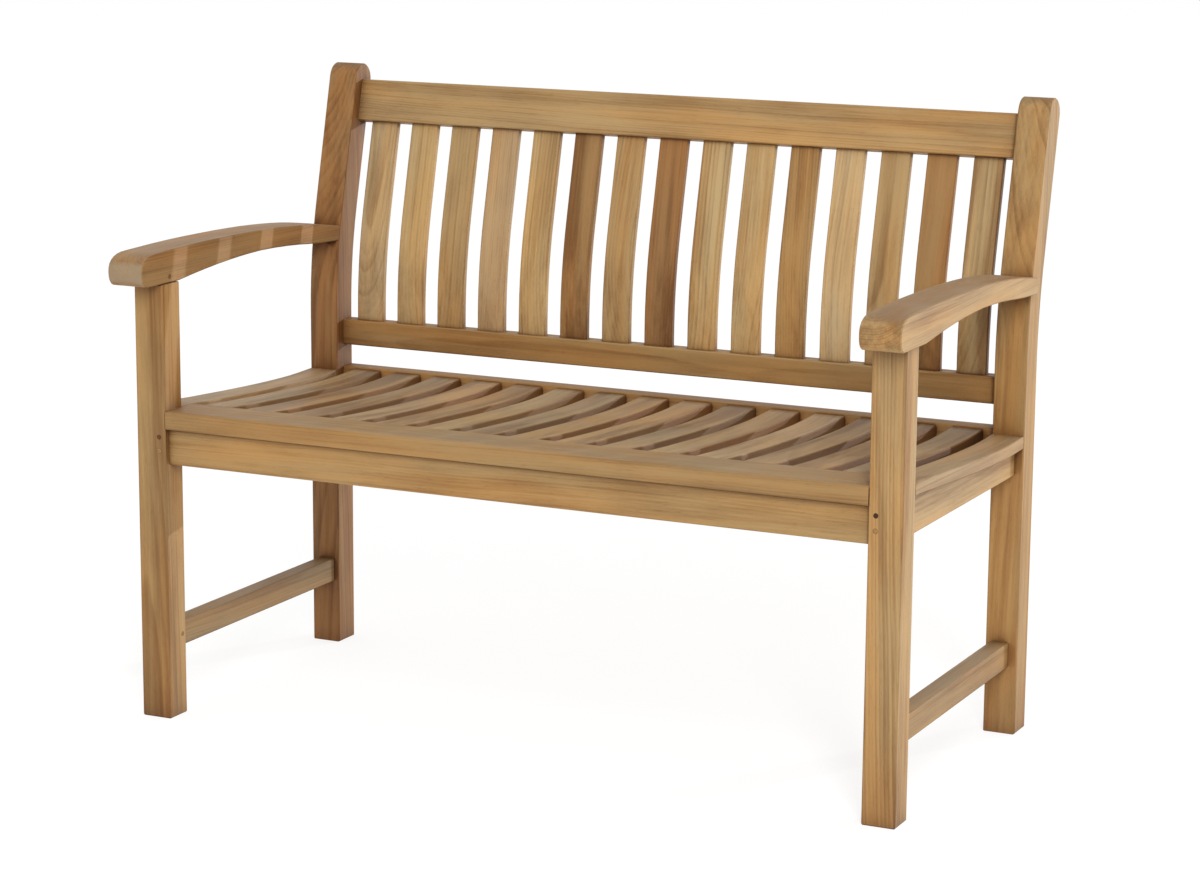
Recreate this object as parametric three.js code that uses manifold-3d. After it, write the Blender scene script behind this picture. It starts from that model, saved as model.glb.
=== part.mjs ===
// Two-seat wooden garden bench with armrests, built as separate boards with housed joints.
// Millimetres. X runs along the bench, Y from the front to the back, Z up from the floor.
// Left and right are as seen by someone standing in front of the bench.
import * as THREE from 'three';
import { mergeVertices } from 'three/addons/utils/BufferGeometryUtils.js';
import Module from 'manifold-3d';

const wasm = await Module();
wasm.setup();

// Gap left between two pieces that touch, and the small bevel on every long edge.
const GAP = 0.3;
const EASE = 1.5;
const SLAT_EASE = 1.5;

// How far a tenon starts inside its own board, and how far a pocket is cut past the face it opens.
const LAP = 0.6;
const CUT_PAST = 1;

// Front legs. Y is 0 on the front face of the front legs until the last step.
const OUTER_X = 590;
const LEG_WIDTH = 48;
const INNER_X = OUTER_X - LEG_WIDTH;
const LEG_DEPTH = 45;
const LEG_HEIGHT = 644.5;

// Back posts: upright below, leaning back above, with a round top.
const POST_FRONT = 490;
const POST_DEPTH = 48;
const POST_AXIS_Y = POST_FRONT + POST_DEPTH / 2;
const LEAN = THREE.MathUtils.degToRad(13.5);
const BEND_Z = 617;
const BEND_RADIUS = 700;
const BEND_STEPS = 7;
const POST_TOP_ALONG = 284.5;
const TOP_STEPS = 12;

// Rails. All rails between the back posts are flush with the backs of the posts.
const RAIL_DEPTH = 28;
const RAIL_SETBACK = POST_DEPTH - RAIL_DEPTH;
const CREST_BOTTOM_ALONG = 219;
const CREST_TOP_ALONG = 283.5;
const LOWER_RAIL_BOTTOM = 481;
const LOWER_RAIL_TOP = 521;
const REAR_RAIL_BOTTOM = 380;
const REAR_RAIL_TOP = 446.5;
const APRON_FRONT = 9.5;
const APRON_BOTTOM = 380;

// Front seat board.
const SEAT_HEIGHT = 460;
const BOARD_DEPTH = 72;
const BOARD_THICKNESS = 27;
const BOARD_ROUND = 5;
const BOARD_ROUND_STEPS = 4;

// Side seat rails and low side stretchers.
const SIDE_INNER_X = 549.5;
const SIDE_OUTER_X = 577.5;
const SIDE_RAIL_BOTTOM = 384;
const STRETCHER_BOTTOM = 100;
const STRETCHER_TOP = 137;

// Slats. The back and the seat share one pitch.
const SLAT_COUNT = 15;
const SLAT_PITCH = 71.1;
const BACK_SLAT_WIDTH = 46;
const BACK_SLAT_THICKNESS = 11;
const BACK_SLAT_OFFSET = 10;
const BACK_SLAT_HOUSING = 12;
const SEAT_SLAT_WIDTH = 48;
const SEAT_SLAT_THICKNESS = 18;
const SEAT_TONGUE_LENGTH = 10;
const SEAT_TONGUE_THICKNESS = 8;

// Top line of the dished seat, from front to back, as distance back and height.
const SEAT_LINE = [
  [40, 460],
  [72, 459.6],
  [120, 455.8],
  [180, 451.8],
  [250, 447.6],
  [320, 444],
  [390, 441.5],
  [430, 441],
  [470, 441.8],
  [512, 443.2],
];
const SEAT_LINE_STEPS = 12;
const SEAT_FINE_STEPS = 60;
const SEAT_END_CLEAR = 5;

// Armrests: upper and lower line from front to back, as distance back and height.
const ARM_OUTER_X = 600;
const ARM_NOSE_Y = -50.5;
const ARM_NOSE_Z = 666;
const ARM_TOP_LINE = [
  [-8, 691.5],
  [90, 693.5],
  [200, 692.8],
  [300, 690],
  [380, 685],
  [440, 679],
  [510, 669],
];
const ARM_BOTTOM_LINE = [
  [46, 645],
  [103, 651],
  [180, 657],
  [270, 660],
  [360, 656.5],
  [432, 650.6],
  [510, 646.5],
];
const ARM_BOTTOM_Z = 645;
const ARM_FLAT_FRONT = -34;
const ARM_TOP_STEPS = 16;
const ARM_BOTTOM_STEPS = 14;
const UPPER_NOSE_STEPS = 7;
const LOWER_NOSE_STEPS = 5;

// Tenons and pegs.
const TENON_LENGTH = 25;
const TENON_THICKNESS = 12;
const TENON_SHOULDER = 8;
const STUB_TENON = 14;
const SIDE_RAIL_TENON_HEIGHT = 20;
const LEG_TENON_HEIGHT = 22;
const ARM_TENON_LENGTH = 28;
const ARM_TENON_START = 5;
const PEG_RADIUS = 3.3;
const PEG_LENGTH = 34;
const PEG_SIDES = 16;
const PEG_INSET = 10.5;
const APRON_PEG_HEIGHTS = [421.5, 401];
const ARM_PEG_Y = 20;
const ARM_PEG_Z = 654;
const STRETCHER_PEG_Y = 36;
const STRETCHER_PEG_Z = 121;

// ---------------------------------------------------------------- solids

// Conversions between three.js geometry and manifold solids.
function toManifold(geometry) {
  const bare = geometry.clone();
  bare.deleteAttribute('normal');
  bare.deleteAttribute('uv');
  const merged = mergeVertices(bare, 1e-4);
  const mesh = new wasm.Mesh({
    numProp: 3,
    vertProperties: new Float32Array(merged.attributes.position.array),
    triVerts: new Uint32Array(merged.index.array),
  });
  return new wasm.Manifold(mesh);
}

function fromManifold(solid) {
  const mesh = solid.getMesh();
  const geometry = new THREE.BufferGeometry();
  geometry.setAttribute('position', new THREE.BufferAttribute(mesh.vertProperties, 3));
  geometry.setIndex(new THREE.BufferAttribute(mesh.triVerts, 1));
  return geometry;
}

// One solid made of a geometry and its tenons, and one with pockets or bores taken out.
function joined(geometry, extras) {
  return fromManifold(extras.reduce((sum, extra) => sum.add(toManifold(extra)), toManifold(geometry)));
}

function cut(geometry, tools) {
  return fromManifold(tools.reduce((rest, tool) => rest.subtract(toManifold(tool)), toManifold(geometry)));
}

function block(x, y, z) {
  const box = new THREE.BoxGeometry(x[1] - x[0], y[1] - y[0], z[1] - z[0]);
  return box.translate((x[0] + x[1]) / 2, (y[0] + y[1]) / 2, (z[0] + z[1]) / 2);
}

// A range made longer by the amount at both ends.
function grown(range, amount) {
  return [range[0] - amount, range[1] + amount];
}

// Turns a shape drawn flat and raised along Z into one drawn in Y and Z and raised along X.
const ALONG_X = new THREE.Matrix4().makeBasis(
  new THREE.Vector3(0, 1, 0),
  new THREE.Vector3(0, 0, 1),
  new THREE.Vector3(1, 0, 0),
);

// A board whose side view is the given outline of [y, z] points, running from x[0] to x[1].
function boardFromSide(outline, x, ease) {
  const shape = new THREE.Shape(outline.map(([y, z]) => new THREE.Vector2(y, z)));
  const board = new THREE.ExtrudeGeometry(shape, {
    depth: x[1] - x[0] - 2 * ease,
    bevelEnabled: true,
    bevelThickness: ease,
    bevelSize: ease,
    bevelOffset: -ease,
    bevelSegments: 1,
  });
  board.translate(0, 0, x[0] + ease);
  return board.applyMatrix4(ALONG_X);
}

// A board whose end view is the given outline, with square ends.
function squareEndedBoard(outline, x) {
  const shape = new THREE.Shape(outline.map(([y, z]) => new THREE.Vector2(y, z)));
  const board = new THREE.ExtrudeGeometry(shape, { depth: x[1] - x[0], bevelEnabled: false });
  board.translate(0, 0, x[0]);
  return board.applyMatrix4(ALONG_X);
}

// Rectangle of [y, z] points with bevelled corners.
function easedRectangle(y, z, ease) {
  return [
    [y[0] + ease, z[0]],
    [y[1] - ease, z[0]],
    [y[1], z[0] + ease],
    [y[1], z[1] - ease],
    [y[1] - ease, z[1]],
    [y[0] + ease, z[1]],
    [y[0], z[1] - ease],
    [y[0], z[0] + ease],
  ];
}

// A smooth curve through the points, as steps + 1 new points.
function smoothLine(points, steps) {
  const curve = new THREE.SplineCurve(points.map(([y, z]) => new THREE.Vector2(y, z)));
  return curve.getPoints(steps).map((p) => [p.x, p.y]);
}

// Height of a line of [y, z] points at a distance back.
function heightOn(line, y) {
  const next = line.findIndex((point) => point[0] >= y);
  const [y0, z0] = line[next - 1];
  const [y1, z1] = line[next];
  return THREE.MathUtils.mapLinear(y, y0, y1, z0, z1);
}

// ---------------------------------------------------------------- the leaning back

// Point at a distance along the lean from the bend and a distance behind the post axis.
function leanPoint(along, behind) {
  return [
    POST_AXIS_Y + along * Math.sin(LEAN) + behind * Math.cos(LEAN),
    BEND_Z + along * Math.cos(LEAN) - behind * Math.sin(LEAN),
  ];
}

const BEND_REACH = BEND_RADIUS * Math.tan(LEAN / 2);
const BEND_START_Z = BEND_Z - BEND_REACH;

// Points of the bend at a distance behind the post axis, from bottom to top.
function bendPoints(behind) {
  const points = [];
  for (let step = 0; step <= BEND_STEPS; step += 1) {
    const angle = (LEAN * step) / BEND_STEPS;
    const radius = BEND_RADIUS - behind;
    points.push([
      POST_AXIS_Y + BEND_RADIUS - radius * Math.cos(angle),
      BEND_START_Z + radius * Math.sin(angle),
    ]);
  }
  return points;
}

// Side view of a back post, with its round top.
function postOutline() {
  const half = POST_DEPTH / 2;
  const [topY, topZ] = leanPoint(POST_TOP_ALONG, 0);
  const round = [];
  for (let step = 0; step <= TOP_STEPS; step += 1) {
    const angle = -LEAN + Math.PI * (step / TOP_STEPS);
    round.push([topY + half * Math.cos(angle), topZ + half * Math.sin(angle)]);
  }
  return [
    [POST_FRONT + half * 2, 0],
    ...bendPoints(half),
    ...round,
    ...bendPoints(-half).reverse(),
    [POST_FRONT, 0],
  ];
}

// Slanted block in the lean, used for the crest rail, its tenons and their pockets.
function leanOutline(along, behind) {
  return [
    leanPoint(along[0], behind[0]),
    leanPoint(along[0], behind[1]),
    leanPoint(along[1], behind[1]),
    leanPoint(along[1], behind[0]),
  ];
}

// ---------------------------------------------------------------- joint shapes, right-hand side

const HALF_TENON = TENON_THICKNESS / 2;
const TENON_END_X = INNER_X + TENON_LENGTH;
const SIDE_TENON_X = [
  (SIDE_INNER_X + SIDE_OUTER_X) / 2 - HALF_TENON,
  (SIDE_INNER_X + SIDE_OUTER_X) / 2 + HALF_TENON,
];
const RAIL_FRONT = POST_FRONT + RAIL_SETBACK;
const RAIL_BACK = POST_FRONT + POST_DEPTH;
const RAIL_AXIS_Y = (RAIL_FRONT + RAIL_BACK) / 2;
const RAIL_TENON_Y = [RAIL_AXIS_Y - HALF_TENON, RAIL_AXIS_Y + HALF_TENON];
const APRON_BACK = APRON_FRONT + RAIL_DEPTH;
const APRON_TOP = SEAT_HEIGHT - BOARD_THICKNESS - GAP;
const APRON_AXIS_Y = (APRON_FRONT + APRON_BACK) / 2;
const APRON_TENON_Y = [APRON_AXIS_Y - HALF_TENON, APRON_AXIS_Y + HALF_TENON];
const RAIL_HALF = RAIL_DEPTH / 2;
const CREST_BEHIND = [POST_DEPTH / 2 - RAIL_DEPTH, POST_DEPTH / 2];
const CREST_TENON_BEHIND = [
  CREST_BEHIND[0] + RAIL_HALF - HALF_TENON,
  CREST_BEHIND[0] + RAIL_HALF + HALF_TENON,
];

// Heights of the tenons, inside the height of the board they belong to.
const APRON_TENON_Z = [APRON_BOTTOM + TENON_SHOULDER, APRON_TOP - TENON_SHOULDER];
const REAR_TENON_Z = [REAR_RAIL_BOTTOM + TENON_SHOULDER, REAR_RAIL_TOP - TENON_SHOULDER];
const LOWER_TENON_Z = [LOWER_RAIL_BOTTOM + TENON_SHOULDER, LOWER_RAIL_TOP - TENON_SHOULDER];
const CREST_TENON_ALONG = [CREST_BOTTOM_ALONG + TENON_SHOULDER, CREST_TOP_ALONG - TENON_SHOULDER];
const STRETCHER_TENON_Z = [STRETCHER_BOTTOM + TENON_SHOULDER, STRETCHER_TOP - TENON_SHOULDER];
const SIDE_RAIL_TENON_BOTTOM = SIDE_RAIL_BOTTOM + TENON_SHOULDER;
const SIDE_RAIL_TENON_Z = [SIDE_RAIL_TENON_BOTTOM, SIDE_RAIL_TENON_BOTTOM + SIDE_RAIL_TENON_HEIGHT];
const LEG_TENON_X = [INNER_X + TENON_SHOULDER, OUTER_X - TENON_SHOULDER];
const LEG_TENON_Y = [TENON_SHOULDER, LEG_DEPTH - TENON_SHOULDER];
const LEG_TENON_Z = [LEG_HEIGHT, LEG_HEIGHT + LEG_TENON_HEIGHT];
const ARM_TENON_X = [INNER_X + TENON_SHOULDER, OUTER_X - TENON_SHOULDER];
const ARM_TENON_Z = [653, 665];

// Straight tenon running back into a post, or forward into a leg, at a side board.
function sideTenonY(atPost) {
  return atPost
    ? [POST_FRONT - LAP, POST_FRONT + STUB_TENON]
    : [LEG_DEPTH - STUB_TENON, LEG_DEPTH + LAP];
}

// Pocket for that tenon, in the post or in the leg.
function pocketY(atPost) {
  return atPost
    ? [POST_FRONT - CUT_PAST, POST_FRONT + STUB_TENON + GAP]
    : [LEG_DEPTH - STUB_TENON - GAP, LEG_DEPTH + CUT_PAST];
}

// ---------------------------------------------------------------- right-hand boards

// A round peg whose outer end lies flush at the position and which runs into the wood along the axis.
function peg(axis, position, radius, length) {
  const pin = new THREE.CylinderGeometry(radius, radius, length, PEG_SIDES);
  const direction = new THREE.Vector3(...axis);
  pin.applyQuaternion(new THREE.Quaternion().setFromUnitVectors(new THREE.Vector3(0, 1, 0), direction));
  const middle = new THREE.Vector3(...position).addScaledVector(direction, length / 2);
  return pin.translate(middle.x, middle.y, middle.z);
}

// The hole drilled for a peg. It starts in front of the face, so that the end of the peg shows.
function pegBore(axis, position) {
  const outside = position.map((value, i) => value - CUT_PAST * axis[i]);
  return peg(axis, outside, PEG_RADIUS + GAP, CUT_PAST + PEG_LENGTH + GAP);
}

const APRON_PEGS = APRON_PEG_HEIGHTS.map((z) => ({ axis: [0, 1, 0], at: [INNER_X + PEG_INSET, 0, z] }));
const ARM_PEG = { axis: [1, 0, 0], at: [INNER_X, ARM_PEG_Y, ARM_PEG_Z] };
const STRETCHER_PEG = { axis: [1, 0, 0], at: [INNER_X, STRETCHER_PEG_Y, STRETCHER_PEG_Z] };

function rightFrontLeg() {
  const outline = easedRectangle([0, LEG_DEPTH], [0, LEG_HEIGHT - GAP], EASE);
  const body = boardFromSide(outline, [INNER_X, OUTER_X], EASE);
  const tenon = block(LEG_TENON_X, LEG_TENON_Y, [LEG_HEIGHT - GAP - LAP, LEG_TENON_Z[1]]);
  const pockets = [
    block(
      [INNER_X - CUT_PAST, TENON_END_X + GAP],
      grown(APRON_TENON_Y, GAP),
      grown(APRON_TENON_Z, GAP),
    ),
    block(grown(SIDE_TENON_X, GAP), pocketY(false), grown(SIDE_RAIL_TENON_Z, GAP)),
    block(grown(SIDE_TENON_X, GAP), pocketY(false), grown(STRETCHER_TENON_Z, GAP)),
    ...APRON_PEGS.map((pin) => pegBore(pin.axis, pin.at)),
    pegBore(STRETCHER_PEG.axis, STRETCHER_PEG.at),
    pegBore(ARM_PEG.axis, ARM_PEG.at),
  ];
  return cut(joined(body, [tenon]), pockets);
}

function rightBackPost() {
  const body = boardFromSide(postOutline(), [INNER_X, OUTER_X], EASE);
  const railPocketX = [INNER_X - CUT_PAST, TENON_END_X + GAP];
  const crestPocket = leanOutline(grown(CREST_TENON_ALONG, GAP), grown(CREST_TENON_BEHIND, GAP));
  const pockets = [
    block(railPocketX, grown(RAIL_TENON_Y, GAP), grown(REAR_TENON_Z, GAP)),
    block(railPocketX, grown(RAIL_TENON_Y, GAP), grown(LOWER_TENON_Z, GAP)),
    squareEndedBoard(crestPocket, railPocketX),
    block(grown(SIDE_TENON_X, GAP), pocketY(true), grown(SIDE_RAIL_TENON_Z, GAP)),
    block(grown(SIDE_TENON_X, GAP), pocketY(true), grown(STRETCHER_TENON_Z, GAP)),
    block(
      grown(ARM_TENON_X, GAP),
      [POST_FRONT - CUT_PAST, POST_FRONT + ARM_TENON_LENGTH + GAP],
      grown(ARM_TENON_Z, GAP),
    ),
  ];
  return cut(body, pockets);
}

// Side view of an armrest, before its back end is fitted to the post.
function armOutline() {
  const top = smoothLine(ARM_TOP_LINE, ARM_TOP_STEPS);
  const bottom = smoothLine(ARM_BOTTOM_LINE, ARM_BOTTOM_STEPS).reverse();
  const [topY, topZ] = ARM_TOP_LINE[0];
  const upperNose = new THREE.QuadraticBezierCurve(
    new THREE.Vector2(ARM_NOSE_Y, ARM_NOSE_Z),
    new THREE.Vector2(ARM_NOSE_Y, topZ),
    new THREE.Vector2(topY, topZ),
  );
  const lowerNose = new THREE.QuadraticBezierCurve(
    new THREE.Vector2(ARM_FLAT_FRONT, ARM_BOTTOM_Z),
    new THREE.Vector2(ARM_NOSE_Y, ARM_BOTTOM_Z),
    new THREE.Vector2(ARM_NOSE_Y, ARM_NOSE_Z),
  );
  const nosePoints = (curve, steps) => curve.getPoints(steps).slice(0, -1).map((p) => [p.x, p.y]);
  const nose = [...nosePoints(lowerNose, LOWER_NOSE_STEPS), ...nosePoints(upperNose, UPPER_NOSE_STEPS)];
  return [...bottom, ...nose, ...top].reverse();
}

function rightArmrest() {
  const body = boardFromSide(armOutline(), [INNER_X, ARM_OUTER_X], EASE);
  const postFace = bendPoints(-POST_DEPTH / 2 - GAP);
  const behindPostFace = squareEndedBoard(
    [...postFace, leanPoint(POST_TOP_ALONG, -POST_DEPTH / 2 - GAP), [RAIL_BACK, BEND_START_Z]].reverse(),
    [INNER_X - CUT_PAST, ARM_OUTER_X + CUT_PAST],
  );
  const shaped = cut(body, [behindPostFace]);
  const armTenonY = [POST_FRONT - ARM_TENON_START, POST_FRONT + ARM_TENON_LENGTH];
  const tenon = block(ARM_TENON_X, armTenonY, ARM_TENON_Z);
  const legPocket = block(
    grown(LEG_TENON_X, GAP),
    grown(LEG_TENON_Y, GAP),
    [ARM_BOTTOM_Z - CUT_PAST, LEG_TENON_Z[1] + GAP],
  );
  return cut(joined(shaped, [tenon]), [legPocket, pegBore(ARM_PEG.axis, ARM_PEG.at)]);
}

function rightStretcher() {
  const z = [STRETCHER_BOTTOM, STRETCHER_TOP];
  const body = boardFromSide(
    [[LEG_DEPTH + GAP, z[0]], [POST_FRONT - GAP, z[0]], [POST_FRONT - GAP, z[1]], [LEG_DEPTH + GAP, z[1]]],
    [SIDE_INNER_X, SIDE_OUTER_X],
    SLAT_EASE,
  );
  const tenons = [false, true].map((atPost) => block(SIDE_TENON_X, sideTenonY(atPost), STRETCHER_TENON_Z));
  return cut(joined(body, tenons), [pegBore(STRETCHER_PEG.axis, STRETCHER_PEG.at)]);
}

function rightSideRail() {
  const start = LEG_DEPTH + GAP;
  const end = POST_FRONT - GAP;
  const under = seatLine(start, end).map(([y, z]) => [y, z - SEAT_SLAT_THICKNESS - GAP]);
  const outline = [[start, SIDE_RAIL_BOTTOM], [end, SIDE_RAIL_BOTTOM], ...under.reverse()];
  const body = boardFromSide(outline, [SIDE_INNER_X, SIDE_OUTER_X], SLAT_EASE);
  const tenons = [false, true].map((atPost) => block(SIDE_TENON_X, sideTenonY(atPost), SIDE_RAIL_TENON_Z));
  return joined(body, tenons);
}

// ---------------------------------------------------------------- seat

// Points of the top line of the seat between two distances back.
function seatLine(start, end) {
  const fine = smoothLine(SEAT_LINE, SEAT_FINE_STEPS);
  const coarse = smoothLine(SEAT_LINE, SEAT_LINE_STEPS);
  const inner = coarse.filter(([y]) => y > start + SEAT_END_CLEAR && y < end - SEAT_END_CLEAR);
  return [[start, heightOn(fine, start)], ...inner, [end, heightOn(fine, end)]];
}

function rightEndSlat() {
  const top = seatLine(LEG_DEPTH + GAP, POST_FRONT - GAP);
  const bottom = top.map(([y, z]) => [y, z - SEAT_SLAT_THICKNESS]);
  return boardFromSide([...bottom, ...top.reverse()], [INNER_X, OUTER_X], SLAT_EASE);
}

// Height range of the tongue at one end of a seat slat.
function tongueZ(end) {
  const top = end === 'front' ? SEAT_HEIGHT : heightOn(SEAT_LINE, RAIL_FRONT);
  const middle = top - SEAT_SLAT_THICKNESS / 2;
  return [middle - SEAT_TONGUE_THICKNESS / 2, middle + SEAT_TONGUE_THICKNESS / 2];
}

function seatSlat(centre) {
  const start = BOARD_DEPTH + GAP;
  const end = RAIL_FRONT - GAP;
  const top = seatLine(start, end);
  const bottom = top.map(([y, z]) => [y, z - SEAT_SLAT_THICKNESS]);
  const front = tongueZ('front');
  const back = tongueZ('back');
  const outline = [
    ...bottom,
    [end, back[0]],
    [end + SEAT_TONGUE_LENGTH, back[0]],
    [end + SEAT_TONGUE_LENGTH, back[1]],
    [end, back[1]],
    ...top.reverse(),
    [start, front[1]],
    [start - SEAT_TONGUE_LENGTH, front[1]],
    [start - SEAT_TONGUE_LENGTH, front[0]],
    [start, front[0]],
  ];
  const half = SEAT_SLAT_WIDTH / 2;
  return boardFromSide(outline, [centre - half, centre + half], SLAT_EASE);
}

// Distances of the slats from the middle of the bench.
function slatCentres() {
  return Array.from({ length: SLAT_COUNT }, (_, i) => (i - (SLAT_COUNT - 1) / 2) * SLAT_PITCH);
}

// Housings for the tongues of all seat slats, in the front board or in the rear rail.
function seatHousings(end) {
  const z = grown(tongueZ(end), GAP);
  const y = end === 'front'
    ? [BOARD_DEPTH - SEAT_TONGUE_LENGTH - GAP, BOARD_DEPTH + CUT_PAST]
    : [RAIL_FRONT - CUT_PAST, RAIL_FRONT + SEAT_TONGUE_LENGTH + GAP];
  const half = SEAT_SLAT_WIDTH / 2 + GAP;
  return slatCentres().map((centre) => block([centre - half, centre + half], y, z));
}

function frontBoard() {
  const bottom = SEAT_HEIGHT - BOARD_THICKNESS;
  const outline = [
    [SLAT_EASE, bottom],
    [BOARD_DEPTH, bottom],
    [BOARD_DEPTH, SEAT_HEIGHT],
  ];
  for (let step = 0; step <= BOARD_ROUND_STEPS; step += 1) {
    const angle = Math.PI / 2 + (Math.PI / 2) * (step / BOARD_ROUND_STEPS);
    outline.push([
      BOARD_ROUND + BOARD_ROUND * Math.cos(angle),
      SEAT_HEIGHT - BOARD_ROUND + BOARD_ROUND * Math.sin(angle),
    ]);
  }
  outline.push([0, bottom + SLAT_EASE]);
  const body = squareEndedBoard(outline, [-INNER_X + GAP, INNER_X - GAP]);
  return cut(body, seatHousings('front'));
}

// ---------------------------------------------------------------- rails across the bench

const RAIL_X = [-INNER_X + GAP, INNER_X - GAP];
const TENONED_X = [-TENON_END_X, TENON_END_X];

function apron() {
  const outline = easedRectangle([APRON_FRONT, APRON_BACK], [APRON_BOTTOM, APRON_TOP], SLAT_EASE);
  const board = joined(squareEndedBoard(outline, RAIL_X), [block(TENONED_X, APRON_TENON_Y, APRON_TENON_Z)]);
  const rightBores = APRON_PEGS.map((pin) => pegBore(pin.axis, pin.at));
  return cut(board, [...rightBores, ...rightBores.map(mirrored)]);
}

function rearSeatRail() {
  const outline = easedRectangle([RAIL_FRONT, RAIL_BACK], [REAR_RAIL_BOTTOM, REAR_RAIL_TOP], EASE);
  const board = joined(squareEndedBoard(outline, RAIL_X), [block(TENONED_X, RAIL_TENON_Y, REAR_TENON_Z)]);
  return cut(board, seatHousings('back'));
}

// Pockets for the ends of the back slats, from the given outline of their side view.
function backSlatPockets(outline) {
  const half = BACK_SLAT_WIDTH / 2 + GAP;
  return slatCentres().map((centre) => squareEndedBoard(outline, [centre - half, centre + half]));
}

const SLAT_BEHIND = [
  BACK_SLAT_OFFSET - BACK_SLAT_THICKNESS / 2,
  BACK_SLAT_OFFSET + BACK_SLAT_THICKNESS / 2,
];

function lowerBackRail() {
  const outline = easedRectangle([RAIL_FRONT, RAIL_BACK], [LOWER_RAIL_BOTTOM, LOWER_RAIL_TOP], EASE);
  const board = joined(squareEndedBoard(outline, RAIL_X), [block(TENONED_X, RAIL_TENON_Y, LOWER_TENON_Z)]);
  const y = grown(SLAT_BEHIND.map((behind) => POST_AXIS_Y + behind), GAP);
  const z = [LOWER_RAIL_TOP - BACK_SLAT_HOUSING - GAP, LOWER_RAIL_TOP + CUT_PAST];
  return cut(board, backSlatPockets([[y[0], z[0]], [y[1], z[0]], [y[1], z[1]], [y[0], z[1]]]));
}

function crestRail() {
  const along = [CREST_BOTTOM_ALONG, CREST_TOP_ALONG];
  const outline = easedRectangle(CREST_BEHIND, along, EASE).map(([behind, a]) => leanPoint(a, behind));
  const tenon = squareEndedBoard(leanOutline(CREST_TENON_ALONG, CREST_TENON_BEHIND), TENONED_X);
  const pocket = leanOutline(
    [CREST_BOTTOM_ALONG - CUT_PAST, CREST_BOTTOM_ALONG + BACK_SLAT_HOUSING + GAP],
    grown(SLAT_BEHIND, GAP),
  );
  return cut(joined(squareEndedBoard(outline, RAIL_X), [tenon]), backSlatPockets(pocket));
}

function backSlat(centre) {
  const face = (behind) => [
    [POST_AXIS_Y + behind, LOWER_RAIL_TOP - BACK_SLAT_HOUSING],
    ...bendPoints(behind),
    leanPoint(CREST_BOTTOM_ALONG + BACK_SLAT_HOUSING, behind),
  ];
  const outline = [...face(SLAT_BEHIND[1]), ...face(SLAT_BEHIND[0]).reverse()];
  const half = BACK_SLAT_WIDTH / 2;
  return boardFromSide(outline, [centre - half, centre + half], SLAT_EASE);
}

// ---------------------------------------------------------------- assembly

// The same board on the left-hand side, with its faces still outward.
function mirrored(geometry) {
  const left = geometry.clone().applyMatrix4(new THREE.Matrix4().makeScale(-1, 1, 1));
  const index = left.index
    ? Array.from(left.index.array)
    : Array.from({ length: left.attributes.position.count }, (_, i) => i);
  for (let i = 0; i < index.length; i += 3) {
    [index[i + 1], index[i + 2]] = [index[i + 2], index[i + 1]];
  }
  left.setIndex(index);
  return left;
}

const group = new THREE.Group();
group.name = 'garden_bench';

// Half the distance from the armrest noses to the backs of the leaning post tops.
const BACK_Y = leanPoint(POST_TOP_ALONG, 0)[0] + POST_DEPTH / 2;
const MIDDLE_Y = (ARM_NOSE_Y + BACK_Y) / 2;

const WOOD = { frame: '#b38a5a', seat: '#a98b66', back: '#b8905f', peg: '#6b4a2c' };

// Adds one named piece, moved so that the middle of the bench is at zero.
function place(name, geometry, colour) {
  const bare = geometry.clone();
  bare.deleteAttribute('uv');
  const faceted = bare.index ? bare.toNonIndexed() : bare;
  faceted.translate(0, -MIDDLE_Y, 0);
  faceted.computeVertexNormals();
  const material = new THREE.MeshStandardMaterial({ color: colour, roughness: 0.62, metalness: 0 });
  const mesh = new THREE.Mesh(faceted, material);
  mesh.name = name;
  group.add(mesh);
}

// Adds a right-hand piece and its mirror image on the left.
function placePair(name, geometry, colour) {
  place(`${name}_left`, mirrored(geometry), colour);
  place(`${name}_right`, geometry, colour);
}

placePair('front_leg', rightFrontLeg(), WOOD.frame);
placePair('back_post', rightBackPost(), WOOD.frame);
placePair('armrest', rightArmrest(), WOOD.frame);
placePair('side_seat_rail', rightSideRail(), WOOD.frame);
placePair('side_stretcher', rightStretcher(), WOOD.frame);
placePair('seat_end_slat', rightEndSlat(), WOOD.seat);
place('crest_rail', crestRail(), WOOD.back);
place('lower_back_rail', lowerBackRail(), WOOD.back);
place('rear_seat_rail', rearSeatRail(), WOOD.frame);
place('front_seat_rail', apron(), WOOD.frame);
place('front_seat_board', frontBoard(), WOOD.seat);
slatCentres().forEach((centre, i) => {
  const number = String(i + 1).padStart(2, '0');
  place(`back_slat_${number}`, backSlat(centre), WOOD.back);
  place(`seat_slat_${number}`, seatSlat(centre), WOOD.seat);
});
APRON_PEGS.forEach((pin, i) => {
  placePair(`rail_peg_${['upper', 'lower'][i]}`, peg(pin.axis, pin.at, PEG_RADIUS, PEG_LENGTH), WOOD.peg);
});
placePair('arm_peg', peg(ARM_PEG.axis, ARM_PEG.at, PEG_RADIUS, PEG_LENGTH), WOOD.peg);
placePair('stretcher_peg', peg(STRETCHER_PEG.axis, STRETCHER_PEG.at, PEG_RADIUS, PEG_LENGTH), WOOD.peg);

export default group;
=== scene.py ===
"""Garden bench in bare teak: rounded boards, a solid wood material for each board, and studio light."""

import math
import random

import bmesh
import bpy
from mathutils import Matrix, Vector


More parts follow.
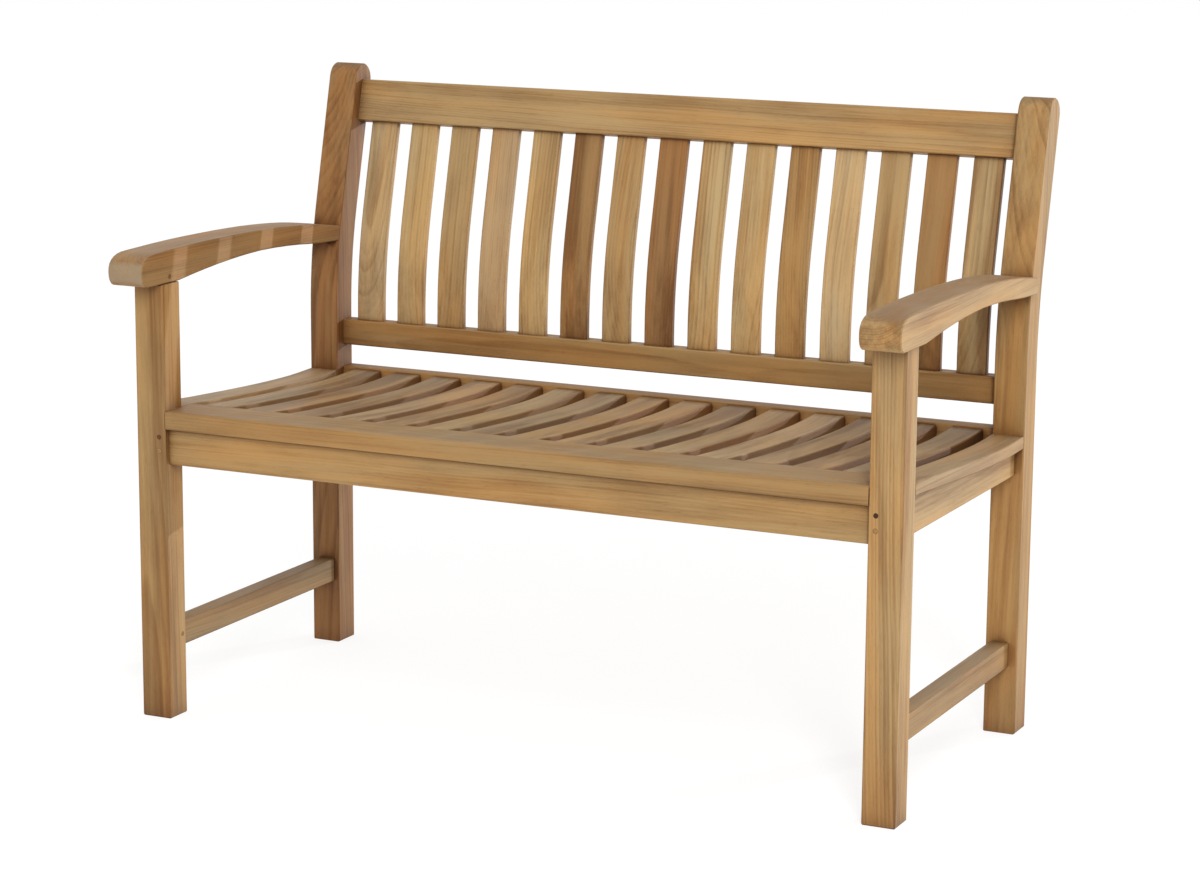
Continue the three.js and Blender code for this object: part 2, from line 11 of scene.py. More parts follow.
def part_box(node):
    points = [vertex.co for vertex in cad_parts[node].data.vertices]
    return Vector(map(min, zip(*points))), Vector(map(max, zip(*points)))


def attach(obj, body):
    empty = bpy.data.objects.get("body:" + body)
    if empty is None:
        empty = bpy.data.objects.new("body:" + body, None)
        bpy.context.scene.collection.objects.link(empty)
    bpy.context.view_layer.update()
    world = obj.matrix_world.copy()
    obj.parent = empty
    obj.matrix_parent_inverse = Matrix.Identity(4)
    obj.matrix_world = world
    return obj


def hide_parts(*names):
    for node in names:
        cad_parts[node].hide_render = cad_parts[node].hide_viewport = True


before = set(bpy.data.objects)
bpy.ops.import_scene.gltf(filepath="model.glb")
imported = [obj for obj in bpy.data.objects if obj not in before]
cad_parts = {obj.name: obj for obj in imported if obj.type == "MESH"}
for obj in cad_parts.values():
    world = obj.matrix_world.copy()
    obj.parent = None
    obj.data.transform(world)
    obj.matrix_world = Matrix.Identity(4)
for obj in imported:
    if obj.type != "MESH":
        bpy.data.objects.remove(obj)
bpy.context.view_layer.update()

# Camera: lens and sensor in millimetres, place in metres and angles in degrees, in the part's own frame.
SENSOR_WIDTH = 36.0
LENS = 96.91
CAMERA_PLACE = Vector((2.0033, -4.1207, 1.3519))
CAMERA_AZIMUTH = 25.69
CAMERA_ELEVATION = 11.55
CAMERA_ROLL = 0.42

# Cleaning of a board's mesh: points this close are one, and faces that meet this flat are one.
WELD_DISTANCE = 1e-5
FLAT_ANGLE = math.radians(0.4)

# Rounding of a board. A face narrower than STRIP_WIDTH is a bevel, and its two long edges, which turn
# by an angle between EASED_ANGLES, are rounded over ROUND_SHARE of the narrowest bevel's width. Edges
# that still turn by more than SHARP_ANGLE are shaded as sharp.
STRIP_WIDTH = 0.0045
EASED_ANGLES = (math.radians(30), math.radians(60))
ROUND_SHARE = 0.30
ROUND_SEGMENTS = 3
CIRCULAR_PROFILE = 0.5
SHARP_ANGLE = math.radians(35)

WHITE = (1.0, 1.0, 1.0, 1.0)

# Base colours of the boards, as linear red, green and blue.
TONES = {
    "cream": (0.460, 0.320, 0.168),
    "straw": (0.435, 0.290, 0.135),
    "sand": (0.400, 0.265, 0.140),
    "tan": (0.378, 0.234, 0.100),
    "honey": (0.345, 0.204, 0.080),
    "amber": (0.300, 0.180, 0.073),
    "orange": (0.295, 0.158, 0.058),
    "brown": (0.262, 0.132, 0.048),
    "drift": (0.240, 0.152, 0.066),
    "grey_tan": (0.370, 0.252, 0.122),
    "rose_grey": (0.325, 0.212, 0.106),
    "peg": (0.290, 0.165, 0.065),
    "dark_peg": (0.170, 0.078, 0.030),
    "blackened_peg": (0.080, 0.034, 0.015),
}


# ------------------------------------------------------------------ boards

def is_strip(face):
    """True for the narrow bevel faces along the edges of a board."""
    longest = max(edge.calc_length() for edge in face.edges)
    return face.calc_area() / longest < STRIP_WIDTH


def eased_edges(shape):
    """The convex edges on both sides of the bevels, and the width of the narrowest bevel."""
    edges = []
    widths = []
    for edge in shape.edges:
        if len(edge.link_faces) != 2 or not edge.is_convex:
            continue
        if not EASED_ANGLES[0] < edge.calc_face_angle() < EASED_ANGLES[1]:
            continue
        strips = [face for face in edge.link_faces if is_strip(face)]
        if strips:
            edges.append(edge)
            widths += [face.calc_area() / edge.calc_length() for face in strips]
    return edges, min(widths, default=0)


def rounded_mesh(name):
    """The CAD board as a clean mesh whose bevelled edges are rounded. The attribute edge is 1 on them."""
    low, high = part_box(name)
    shape = bmesh.new()
    shape.from_mesh(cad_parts[name].data)
    bmesh.ops.remove_doubles(shape, verts=shape.verts, dist=WELD_DISTANCE)
    bmesh.ops.dissolve_limit(shape, angle_limit=FLAT_ANGLE, verts=shape.verts, edges=shape.edges)
    edges, width = eased_edges(shape)
    if edges:
        bmesh.ops.bevel(
            shape,
            geom=edges,
            offset=width * ROUND_SHARE,
            segments=ROUND_SEGMENTS,
            profile=CIRCULAR_PROFILE,
            affect="EDGES",
            clamp_overlap=False,
        )
    layer = shape.verts.layers.float.new("edge")
    for vertex in shape.verts:
        vertex[layer] = float(all(is_strip(face) for face in vertex.link_faces))
        vertex.co = Vector(max(low[k], min(high[k], vertex.co[k])) for k in range(3))
    for face in shape.faces:
        face.smooth = True
    mesh = bpy.data.meshes.new(f"{name}_board")
    shape.to_mesh(mesh)
    shape.free()
    mesh.set_sharp_from_angle(angle=SHARP_ANGLE)
    return mesh


def board_piece(name):
    """A finished board that stands for one CAD node."""
    piece = bpy.data.objects.new(f"{name}_board", rounded_mesh(name))
    bpy.context.scene.collection.objects.link(piece)
    normals = piece.modifiers.new("even_shading", "WEIGHTED_NORMAL")
    normals.keep_sharp = True
    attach(piece, "root")
    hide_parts(name)
    return piece


# ------------------------------------------------------------------ node helpers

# The sockets for colours on a Mix node, which has others of the same name for numbers and vectors.
MIX_FIRST = 6
MIX_SECOND = 7
MIX_RESULT = 2

# Noise runs from 0 to 1 around this value.
NOISE_MIDDLE = 0.5


class Tree:
    """Short ways to add nodes to a node tree and link them."""

    def __init__(self, tree):
        self.tree = tree

    def node(self, kind, **settings):
        """A new node with the given settings."""
        made = self.tree.nodes.new(kind)
        for name, value in settings.items():
            setattr(made, name, value)
        return made

    def feed(self, socket, value):
        """Link an input socket to an output, or set it to a plain value."""
        if isinstance(value, bpy.types.NodeSocket):
            self.tree.links.new(value, socket)
        else:
            socket.default_value = value

    def math(self, operation, *values):
        """A sum on numbers."""
        made = self.node("ShaderNodeMath", operation=operation)
        for socket, value in zip(made.inputs, values):
            self.feed(socket, value)
        return made.outputs[0]

    def vector(self, operation, *values):
        """A sum on vectors, which gives a vector or a number."""
        made = self.node("ShaderNodeVectorMath", operation=operation)
        for socket, value in zip(made.inputs, values):
            self.feed(socket, value)
        return made.outputs["Value" if operation in ("DOT_PRODUCT", "LENGTH") else "Vector"]

    def smooth(self, value, low, high, start=0.0, end=1.0):
        """value taken smoothly from the range low..high to the range start..end."""
        made = self.node("ShaderNodeMapRange", interpolation_type="SMOOTHSTEP")
        for socket, number in zip(made.inputs, (value, low, high, start, end)):
            self.feed(socket, number)
        return made.outputs["Result"]

    def noise(self, place, scale, detail=2.0, roughness=0.5):
        """Noise between 0 and 1 of a place stretched by a scale for each axis."""
        made = self.node("ShaderNodeTexNoise", noise_dimensions="3D")
        self.feed(made.inputs["Vector"], self.vector("MULTIPLY", place, scale))
        made.inputs["Scale"].default_value = 1.0
        made.inputs["Detail"].default_value = detail
        made.inputs["Roughness"].default_value = roughness
        return made.outputs

    def mix(self, factor, first, second, blend="MIX"):
        """The first colour where the factor is 0, and it blended with the second where it is 1."""
        made = self.node("ShaderNodeMix", data_type="RGBA", blend_type=blend)
        self.feed(made.inputs["Factor"], factor)
        self.feed(made.inputs[MIX_FIRST], first)
        self.feed(made.inputs[MIX_SECOND], second)
        return made.outputs[MIX_RESULT]

    def tinted(self, colour, tint):
        """A colour multiplied by a tint."""
        return self.mix(1.0, colour, tint, blend="MULTIPLY")

    def sum(self, start, *parts):
        """start plus each value times its weight, for parts given as (value, weight)."""
        total = start
        for value, weight in parts:
            made = self.node("ShaderNodeMath", operation="MULTIPLY_ADD")
            for socket, number in zip(made.inputs, (value, weight, total)):
                self.feed(socket, number)
            total = made.outputs[0]
        return total

    def height_of(self, vector):
        """The Z part of a vector."""
        made = self.node("ShaderNodeSeparateXYZ")
        self.feed(made.inputs[0], vector)
        return made.outputs["Z"]

    def centred(self, value):
        """A noise value with its middle at zero."""
        return self.math("SUBTRACT", value, NOISE_MIDDLE)


def rgba(colour):
    """An opaque colour, as colour sockets want it."""
    return (*colour, 1.0)


# ------------------------------------------------------------------ the wood

# Patterns of the wood, as waves per metre along X, Y and Z. X runs along the grain, and the growth
# rings circle the X axis.
WANDER_SCALE = (2.0, 9.0, 9.0)
RIPPLE_SCALE = (11.0, 60.0, 60.0)
FIBRE_SCALE = (12.0, 420.0, 420.0)
PORE_SCALE = (70.0, 1300.0, 1300.0)
STREAK_SCALE = (3.0, 170.0, 170.0)
BAND_SCALE = (0.9, 75.0, 75.0)
STRIPE_SCALE = (1.6, 30.0, 30.0)
BLOTCH_SCALE = (8.0, 17.0, 17.0)
HUE_SCALE = (3.0, 26.0, 26.0)

# Growth rings: how far they stray from circles, in metres, where in a ring the late wood rises and
# ends, and how faint the faintest ring is.
WANDER = 0.022
RIPPLE = 0.0016
LATE_RISE = (0.1, 0.85)
LATE_END = (0.85, 1.0)
FAINTEST_RING = 0.15

# Values between which a pattern or a kind of surface goes from absent to full.
PORE_RANGE = (0.60, 0.72)
STRIPE_RANGE = (0.42, 0.72)
HUE_RANGE = (0.3, 0.7)
END_GRAIN_RANGE = (0.55, 0.95)
UPWARD_RANGE = (0.55, 0.98)

# Darkness of the wood, from 0 with LIGHT_TINT to 1 with DARK_TINT, and what each pattern adds to it.
PLAIN_DARKNESS = 0.22
FIBRE_DARKNESS = 0.42
STREAK_DARKNESS = 0.50
BAND_DARKNESS = 0.60
BLOTCH_DARKNESS = 0.55
PORE_DARKNESS = 0.16
END_GRAIN_DARKNESS = 0.40
EDGE_DARKNESS = 0.12
LIGHT_TINT = (1.20, 1.21, 1.22)
DARK_TINT = (0.60, 0.49, 0.40)

# Tints between which the hue wanders.
WARM_TINT = (1.06, 0.98, 0.84)
COOL_TINT = (0.94, 1.01, 1.08)

# Open tops grey in patches, part weathering and part painted sheen, and wood sheltered by other wood gets
# painted shade, darker and browner.
WEATHER_GREY_AND_SHEEN = (0.37, 0.29, 0.19)
PATCH_RANGE = (-0.2, 0.2)
PATCH_SHARE = (0.10, 0.42)
SHELTER_REACH = 0.25
SHELTER_SAMPLES = 4
EXPOSED_RANGE = (0.35, 0.90)
SHELTER_RANGE = (0.30, 0.90)
SHELTER_SHADE_TINT = (0.60, 0.48, 0.36)

# Painted shade: corners and narrow gaps are darker.
CREVICE_REACH = 0.045
CREVICE_SAMPLES = 6
CREVICE_RANGE = (0.1, 0.85)
CREVICE_SHADE_TINT = (0.40, 0.28, 0.17)

# Roughness of the wood, and what each pattern adds to it.
PLAIN_ROUGHNESS = 0.54
FIBRE_ROUGHNESS = 0.25
END_GRAIN_ROUGHNESS = 0.20
EDGE_ROUGHNESS = 0.10

# Relief of the grain: its depth in metres, and what each pattern adds to its height.
RELIEF_DEPTH = 0.00025
RELIEF_STRENGTH = 0.6
FIBRE_HEIGHT = 0.8
PORE_HEIGHT = -0.5
RING_HEIGHT = 0.25

WOOD_INPUTS = (
    ("Tone", "NodeSocketColor"),
    ("Place", "NodeSocketVector"),
    ("Turn", "NodeSocketVector"),
    ("Grain", "NodeSocketVector"),
    ("Ring width", "NodeSocketFloat"),
    ("Figure", "NodeSocketFloat"),
    ("Stripe", "NodeSocketFloat"),
    ("Bleached end", "NodeSocketFloat"),
    ("Darker top", "NodeSocketFloat"),
    ("Shaded sides", "NodeSocketFloat"),
)
WOOD_OUTPUTS = (
    ("Colour", "NodeSocketColor"),
    ("Roughness", "NodeSocketFloat"),
    ("Normal", "NodeSocketVector"),
)


def shaken(tree, place, scale, amount):
    """Offsets across the grain, as noise of the place."""
    offset = tree.noise(place, scale, detail=1.0)["Color"]
    offset = tree.vector("SUBTRACT", offset, (NOISE_MIDDLE, NOISE_MIDDLE, NOISE_MIDDLE))
    return tree.vector("MULTIPLY", offset, (0.0, amount, amount))


def ring_lines(tree, place, ring_width):
    """Growth rings: dark late wood at the end of each ring, and a strength of its own for each ring."""
    across = tree.vector("MULTIPLY", place, (0.0, 1.0, 1.0))
    across = tree.vector("ADD", across, shaken(tree, place, WANDER_SCALE, WANDER))
    across = tree.vector("ADD", across, shaken(tree, place, RIPPLE_SCALE, RIPPLE))
    ring = tree.math("DIVIDE", tree.vector("LENGTH", across), ring_width)
    part = tree.math("FRACT", ring)
    late = tree.math("SUBTRACT", tree.smooth(part, *LATE_RISE), tree.smooth(part, *LATE_END))
    own = tree.node("ShaderNodeTexWhiteNoise", noise_dimensions="1D")
    tree.feed(own.inputs["W"], tree.math("FLOOR", ring))
    strength = tree.smooth(own.outputs["Value"], 0.0, 1.0, FAINTEST_RING, 1.0)
    return tree.math("MULTIPLY", late, strength)


def grain_patterns(tree, place, ring_width):
    """The patterns of the wood at a place in the tree, by name."""
    return {
        "late": ring_lines(tree, place, ring_width),
        "fibre": tree.centred(tree.noise(place, FIBRE_SCALE, detail=3.0, roughness=0.6)["Fac"]),
        "pores": tree.smooth(tree.noise(place, PORE_SCALE, detail=1.0)["Fac"], *PORE_RANGE),
        "streak": tree.centred(tree.noise(place, STREAK_SCALE)["Fac"]),
        "band": tree.centred(tree.noise(place, BAND_SCALE)["Fac"]),
        "stripe": tree.smooth(tree.noise(place, STRIPE_SCALE)["Fac"], *STRIPE_RANGE),
        "blotch": tree.centred(tree.noise(place, BLOTCH_SCALE)["Fac"]),
        "hue": tree.smooth(tree.noise(place, HUE_SCALE)["Fac"], *HUE_RANGE),
    }


def surface_kinds(tree, grain):
    """How far the surface is end grain, faces up or lies on a rounded edge, by name."""
    normal = tree.node("ShaderNodeNewGeometry").outputs["Normal"]
    facing = tree.math("ABSOLUTE", tree.vector("DOT_PRODUCT", normal, grain))
    return {
        "end_grain": tree.smooth(facing, *END_GRAIN_RANGE),
        "upward": tree.smooth(tree.height_of(normal), *UPWARD_RANGE),
        "edge": tree.node("ShaderNodeAttribute", attribute_name="edge").outputs["Fac"],
    }


def grain_colour(tree, given, pattern, surface):
    """The board's tone, lighter and darker with the patterns, and warmer and cooler in places."""
    darkness = tree.sum(
        PLAIN_DARKNESS,
        (pattern["late"], given["Figure"]),
        (pattern["stripe"], given["Stripe"]),
        (pattern["fibre"], FIBRE_DARKNESS),
        (pattern["streak"], STREAK_DARKNESS),
        (pattern["band"], BAND_DARKNESS),
        (pattern["blotch"], BLOTCH_DARKNESS),
        (pattern["pores"], PORE_DARKNESS),
        (surface["end_grain"], END_GRAIN_DARKNESS),
        (surface["upward"], given["Darker top"]),
        # Painted shade on every face but the top.
        (tree.math("SUBTRACT", 1.0, surface["upward"]), given["Shaded sides"]),
        (surface["edge"], EDGE_DARKNESS),
    )
    shade = tree.mix(tree.smooth(darkness, 0.0, 1.0), rgba(LIGHT_TINT), rgba(DARK_TINT))
    warmth = tree.mix(pattern["hue"], rgba(WARM_TINT), rgba(COOL_TINT))
    return tree.tinted(tree.tinted(given["Tone"], shade), warmth)


def openness(tree, reach, samples):
    """The share of the directions around the surface in which no wood is within reach."""
    made = tree.node("ShaderNodeAmbientOcclusion", samples=samples)
    made.inputs["Distance"].default_value = reach
    return made.outputs["AO"]


def enclosed_shade_tint(tree, open_share, limits, tint):
    """A painted-shade tint for enclosed places that fades to white as they open up."""
    return tree.mix(tree.smooth(open_share, *limits), rgba(tint), WHITE)


def weathered_sheened_and_shaded(tree, given, pattern, surface, colour):
    """The colour after years outdoors: greyed open tops, part weathering and part painted sheen, bleached
    ends, and painted shade, darker and browner, on sheltered wood.
    """
    open_share = openness(tree, SHELTER_REACH, SHELTER_SAMPLES)
    exposed = tree.math("MULTIPLY", surface["upward"], tree.smooth(open_share, *EXPOSED_RANGE))
    patches = tree.smooth(pattern["blotch"], *PATCH_RANGE, *PATCH_SHARE)
    # Grey on open tops: part weathering, part painted sheen.
    grey_and_sheen = tree.math("MULTIPLY", exposed, patches)
    bleached = tree.math("MULTIPLY", surface["end_grain"], given["Bleached end"])
    colour = tree.mix(tree.math("MAXIMUM", grey_and_sheen, bleached), colour, rgba(WEATHER_GREY_AND_SHEEN))
    # Painted shade where other wood shelters the surface.
    return tree.tinted(colour, enclosed_shade_tint(tree, open_share, SHELTER_RANGE, SHELTER_SHADE_TINT))


def shaded_crevices(tree, colour):
    """The colour, darker in corners and narrow gaps, as painted shade."""
    open_share = openness(tree, CREVICE_REACH, CREVICE_SAMPLES)
    return tree.tinted(colour, enclosed_shade_tint(tree, open_share, CREVICE_RANGE, CREVICE_SHADE_TINT))


def grain_relief(tree, pattern):
    """The normal of the surface with raised fibres and late wood and sunken pores."""
    bump = tree.node("ShaderNodeBump")
    bump.inputs["Strength"].default_value = RELIEF_STRENGTH
    bump.inputs["Distance"].default_value = RELIEF_DEPTH
    height = tree.sum(
        0.0,
        (pattern["fibre"], FIBRE_HEIGHT),
        (pattern["pores"], PORE_HEIGHT),
        (pattern["late"], RING_HEIGHT),
    )
    tree.feed(bump.inputs["Height"], height)
    return bump.outputs["Normal"]


def wood_group():
    """The wood of every board: rings, fibres, pores and stripes in a solid block, seen where it is cut."""
    group = bpy.data.node_groups.new("teak", "ShaderNodeTree")
    for name, kind in WOOD_INPUTS:
        group.interface.new_socket(name, in_out="INPUT", socket_type=kind)
    for name, kind in WOOD_OUTPUTS:
        group.interface.new_socket(name, in_out="OUTPUT", socket_type=kind)
    tree = Tree(group)
    given = tree.node("NodeGroupInput").outputs
    result = tree.node("NodeGroupOutput").inputs

    mapping = tree.node("ShaderNodeMapping")
    tree.feed(mapping.inputs["Vector"], tree.node("ShaderNodeTexCoord").outputs["Object"])
    tree.feed(mapping.inputs["Location"], given["Place"])
    tree.feed(mapping.inputs["Rotation"], given["Turn"])

    pattern = grain_patterns(tree, mapping.outputs["Vector"], given["Ring width"])
    surface = surface_kinds(tree, given["Grain"])
    colour = grain_colour(tree, given, pattern, surface)
    colour = weathered_sheened_and_shaded(tree, given, pattern, surface, colour)
    roughness = tree.sum(
        PLAIN_ROUGHNESS,
        (pattern["fibre"], FIBRE_ROUGHNESS),
        (surface["end_grain"], END_GRAIN_ROUGHNESS),
        (surface["edge"], EDGE_ROUGHNESS),
    )
    tree.feed(result["Colour"], shaded_crevices(tree, colour))
    tree.feed(result["Roughness"], roughness)
    tree.feed(result["Normal"], grain_relief(tree, pattern))
    return group


# ------------------------------------------------------------------ one material for each board

# The four ways that the grain of a board can run. The back leans from the upright by BACK_LEAN.
BACK_LEAN = math.radians(13.5)
GRAIN_WAYS = {
    "X": Vector((1, 0, 0)),
    "Y": Vector((0, 1, 0)),
    "Z": Vector((0, 0, 1)),
    "lean": Vector((0, math.sin(BACK_LEAN), math.cos(BACK_LEAN))),
}

# Where a board comes from in the tree: metres from the pith and along the trunk, the width of the
# rings in metres, and how far the grain runs off the board's own way, in degrees.
PITH_DISTANCE = (0.05, 0.13)
LENGTH_SPREAD = 6.0
RING_WIDTH = (0.0030, 0.0062)
GRAIN_TILT = 2.0

# The specular level of the bare wood.
GLOSS = 0.26

# Growth rings and stripes of a board for which nothing else is said.
PLAIN_FIGURE = 0.22
PLAIN_STRIPE = 0.30


class Board:
    """How one board was cut and has aged, and how much painted shade its sides get.

    tone          its base colour, a name in TONES
    grain         the way that its grain runs, a name in GRAIN_WAYS
    figure        how dark the growth rings are
    stripe        how dark the broad stripes are
    bleached_end  how far the end grain has greyed
    darker_top    how much darker the top is
    shaded_sides  how much darker everything but the top is, as painted shade
    """

    def __init__(
        self,
        tone,
        grain,
        figure=PLAIN_FIGURE,
        stripe=PLAIN_STRIPE,
        bleached_end=0.0,
        darker_top=0.0,
        shaded_sides=0.0,
    ):
        self.tone = tone
        self.grain = grain
        self.figure = figure
        self.stripe = stripe
        self.bleached_end = bleached_end
        self.darker_top = darker_top
        self.shaded_sides = shaded_sides


def wood_material(name, board, group):
    """The wood of one board, cut from its own place in the tree."""
    chance = random.Random(f"teak {name}")
    low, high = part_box(name)
    pith_angle = chance.uniform(0, 2 * math.pi)
    pith_distance = chance.uniform(*PITH_DISTANCE)
    pith = Vector((
        chance.uniform(-LENGTH_SPREAD, LENGTH_SPREAD),
        pith_distance * math.cos(pith_angle),
        pith_distance * math.sin(pith_angle),
    ))
    tilts = [math.radians(chance.uniform(-GRAIN_TILT, GRAIN_TILT)) for _ in range(2)]
    tilt = Matrix.Rotation(tilts[0], 3, "Y") @ Matrix.Rotation(tilts[1], 3, "Z")
    way = GRAIN_WAYS[board.grain]
    turn = tilt @ way.rotation_difference(GRAIN_WAYS["X"]).to_matrix()
    material = bpy.data.materials.new(f"wood_{name}")
    material.use_nodes = True
    tree = Tree(material.node_tree)
    shader = material.node_tree.nodes["Principled BSDF"]
    wood = tree.node("ShaderNodeGroup", node_tree=group)
    settings = {
        "Tone": rgba(TONES[board.tone]),
        "Place": pith - turn @ ((low + high) / 2),
        "Turn": turn.to_euler(),
        "Grain": way,
        "Ring width": chance.uniform(*RING_WIDTH),
        "Figure": board.figure,
        "Stripe": board.stripe,
        "Bleached end": board.bleached_end,
        "Darker top": board.darker_top,
        "Shaded sides": board.shaded_sides,
    }
    for socket, value in settings.items():
        wood.inputs[socket].default_value = value
    tree.feed(shader.inputs["Base Color"], wood.outputs["Colour"])
    tree.feed(shader.inputs["Roughness"], wood.outputs["Roughness"])
    tree.feed(shader.inputs["Normal"], wood.outputs["Normal"])
    shader.inputs["Specular IOR Level"].default_value = GLOSS
    return material


# ------------------------------------------------------------------ which board is which

# The slats are listed from left to right, as seen from the front.
BACK_SLATS = (
    Board("cream", "lean", stripe=0.15),
    Board("straw", "lean"),
    Board("tan", "lean"),
    Board("sand", "lean"),
    Board("straw", "lean", figure=0.28),
    Board("orange", "lean", stripe=0.60),
    Board("tan", "lean"),
    Board("brown", "lean", stripe=0.65),
    Board("straw", "lean", figure=0.34),
    Board("straw", "lean"),
    Board("honey", "lean", stripe=0.45),
    Board("cream", "lean"),
    Board("tan", "lean"),
    Board("orange", "lean"),
    Board("straw", "lean", stripe=0.45),
)
SEAT_TONES = (
    "grey_tan", "tan", "rose_grey", "sand", "tan",
    "grey_tan", "rose_grey", "honey", "tan", "rose_grey",
    "tan", "sand", "rose_grey", "honey", "rose_grey",
)
SEAT_STRIPE = 0.80
# The seat slats' sides, down in the gaps between them, get painted shade.
SEAT_SHADED_SIDES = 0.70


def all_boards():
    """The name of each CAD node with the board that it was cut from."""
    boards = {
        "crest_rail": Board("tan", "X"),
        "lower_back_rail": Board("honey", "X"),
        "rear_seat_rail": Board("honey", "X"),
        "front_seat_rail": Board("honey", "X"),
        "front_seat_board": Board("amber", "X"),
        "front_leg_left": Board("honey", "Z", stripe=0.50),
        "front_leg_right": Board("tan", "Z", figure=0.30, stripe=0.55),
        "back_post_left": Board("brown", "Z", figure=0.30),
        "back_post_right": Board("honey", "Z", figure=0.34),
        "armrest_left": Board("orange", "Y", bleached_end=0.60),
        "armrest_right": Board("tan", "Y", darker_top=0.55),
        "side_seat_rail_left": Board("honey", "Y"),
        "side_seat_rail_right": Board("tan", "Y"),
        "side_stretcher_left": Board("drift", "Y"),
        "side_stretcher_right": Board("amber", "Y"),
        "seat_end_slat_left": Board("sand", "Y"),
        "seat_end_slat_right": Board("rose_grey", "Y"),
    }
    for index, board in enumerate(BACK_SLATS):
        boards[f"back_slat_{index + 1:02d}"] = board
    for index, tone in enumerate(SEAT_TONES):
        slat = Board(tone, "Y", stripe=SEAT_STRIPE, shaded_sides=SEAT_SHADED_SIDES)
        boards[f"seat_slat_{index + 1:02d}"] = slat
    boards["rail_peg_upper_left"] = Board("dark_peg", "Y")
    boards["rail_peg_upper_right"] = Board("blackened_peg", "Y")
    for side in ("left", "right"):
        boards[f"rail_peg_lower_{side}"] = Board("straw", "Y")
        boards[f"arm_peg_{side}"] = Board("peg", "X")
        boards[f"stretcher_peg_{side}"] = Board("peg", "X")
    return boards


# ------------------------------------------------------------------ camera, light and floor

# The floor glows a little, so that it comes out nearly as white as the backdrop.
FLOOR_HALF = 30.0
FLOOR_WHITE = 0.25
FLOOR_ROUGHNESS = 0.9
FLOOR_GLOW = 0.80

# Light from all around: full behind the bench, dim in front and in between overhead. BACKDROP_TURN is
# where the front gives way to the back, and HORIZON_RISE where the sides give way to the ceiling.
BACKDROP_LIGHT = 1.0
FRONT_LIGHT = 0.15
OVERHEAD_LIGHT = 0.72
BACKDROP_TURN = (-0.5, 0.6)
HORIZON_RISE = 0.75

# A narrow light from behind on the right that shines through the gaps of the back.
BACK_LIGHT_WAY = Vector((-0.49, -0.86, -0.17))
BACK_LIGHT_STRENGTH = 1.6
BACK_LIGHT_ANGLE = math.radians(0.4)
BACK_LIGHT_COLOUR = (1.0, 0.98, 0.95)

# A tall soft light in front on the right.
KEY_LIGHT_PLACE = Vector((4.1, -6.5, 4.9))
KEY_LIGHT_TARGET = Vector((0.0, 0.0, 0.5))
KEY_LIGHT_WIDTH = 1.5
KEY_LIGHT_HEIGHT = 5.0
KEY_LIGHT_POWER = 510.0
KEY_LIGHT_COLOUR = (1.0, 0.975, 0.93)


def make_camera():
    """A camera turned round the bench, tipped down on it and rolled a little."""
    data = bpy.data.cameras.new("camera")
    data.sensor_width = SENSOR_WIDTH
    data.lens = LENS
    camera = bpy.data.objects.new("camera", data)
    turn = Matrix.Rotation(math.radians(CAMERA_AZIMUTH), 4, "Z")
    tip = Matrix.Rotation(math.radians(90 - CAMERA_ELEVATION), 4, "X")
    roll = Matrix.Rotation(math.radians(CAMERA_ROLL), 4, "Z")
    camera.matrix_world = Matrix.Translation(CAMERA_PLACE) @ turn @ tip @ roll
    bpy.context.scene.collection.objects.link(camera)
    bpy.context.scene.camera = camera


def add_light(name, kind, place, way, **settings):
    """A light at a place that shines in the given direction."""
    data = bpy.data.lights.new(name, kind)
    for setting, value in settings.items():
        setattr(data, setting, value)
    light = bpy.data.objects.new(name, data)
    light.location = place
    light.rotation_euler = way.to_track_quat("-Z", "Y").to_euler()
    bpy.context.scene.collection.objects.link(light)


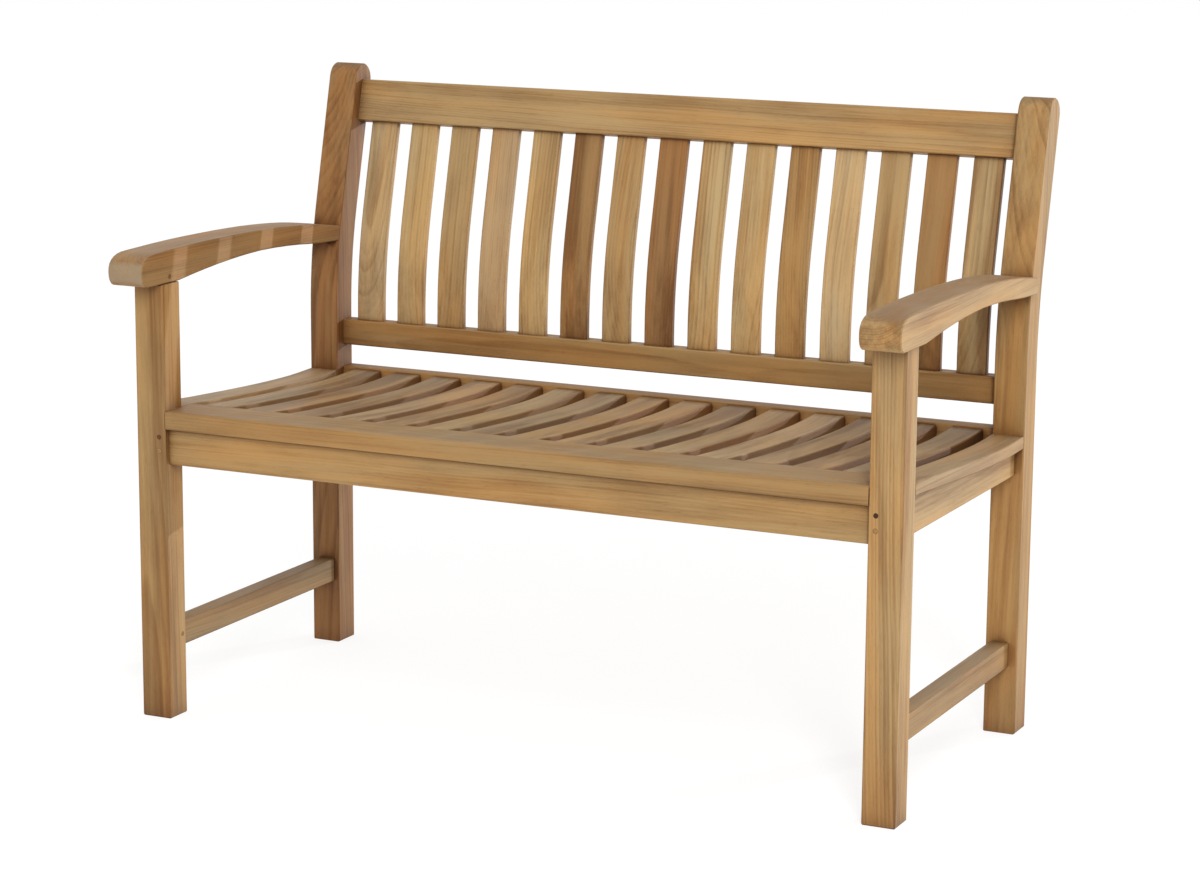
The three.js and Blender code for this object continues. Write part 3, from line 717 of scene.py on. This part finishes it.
def make_surroundings():
    """A studio with a white backdrop behind the bench, a pale ceiling and a dim front."""
    world = bpy.data.worlds.new("studio")
    world.use_nodes = True
    tree = Tree(world.node_tree)
    way = tree.node("ShaderNodeTexCoord").outputs["Generated"]
    parts = tree.node("ShaderNodeSeparateXYZ")
    tree.feed(parts.inputs[0], way)
    around = tree.smooth(parts.outputs["Y"], *BACKDROP_TURN, FRONT_LIGHT, BACKDROP_LIGHT)
    strength = tree.smooth(parts.outputs["Z"], 0.0, HORIZON_RISE, around, OVERHEAD_LIGHT)
    background = world.node_tree.nodes["Background"]
    background.inputs["Color"].default_value = WHITE
    tree.feed(background.inputs["Strength"], strength)
    bpy.context.scene.world = world


def make_lights():
    """The narrow light from behind and the soft light in front."""
    add_light(
        "back_light",
        "SUN",
        -BACK_LIGHT_WAY,
        BACK_LIGHT_WAY,
        energy=BACK_LIGHT_STRENGTH,
        angle=BACK_LIGHT_ANGLE,
        color=BACK_LIGHT_COLOUR,
    )
    add_light(
        "key_light",
        "AREA",
        KEY_LIGHT_PLACE,
        KEY_LIGHT_TARGET - KEY_LIGHT_PLACE,
        shape="RECTANGLE",
        size=KEY_LIGHT_WIDTH,
        size_y=KEY_LIGHT_HEIGHT,
        energy=KEY_LIGHT_POWER,
        color=KEY_LIGHT_COLOUR,
    )


def make_floor():
    """A wide, plain, pale floor at the foot of the bench."""
    mesh = bpy.data.meshes.new("floor")
    signs = ((-1, -1), (1, -1), (1, 1), (-1, 1))
    corners = [(x * FLOOR_HALF, y * FLOOR_HALF, 0.0) for x, y in signs]
    mesh.from_pydata(corners, [], [(0, 1, 2, 3)])
    material = bpy.data.materials.new("floor_white")
    material.use_nodes = True
    shader = material.node_tree.nodes["Principled BSDF"]
    shader.inputs["Base Color"].default_value = rgba((FLOOR_WHITE, FLOOR_WHITE, FLOOR_WHITE))
    shader.inputs["Roughness"].default_value = FLOOR_ROUGHNESS
    shader.inputs["Specular IOR Level"].default_value = 0.0
    shader.inputs["Emission Color"].default_value = WHITE
    shader.inputs["Emission Strength"].default_value = FLOOR_GLOW
    mesh.materials.append(material)
    floor = bpy.data.objects.new("floor", mesh)
    bpy.context.scene.collection.objects.link(floor)


# ------------------------------------------------------------------ the whole scene

make_camera()
make_surroundings()
make_lights()
make_floor()
bpy.context.scene.view_settings.view_transform = "Standard"

teak = wood_group()
for board_name, cut in all_boards().items():
    finished = board_piece(board_name)
    finished.data.materials.append(wood_material(board_name, cut, teak))
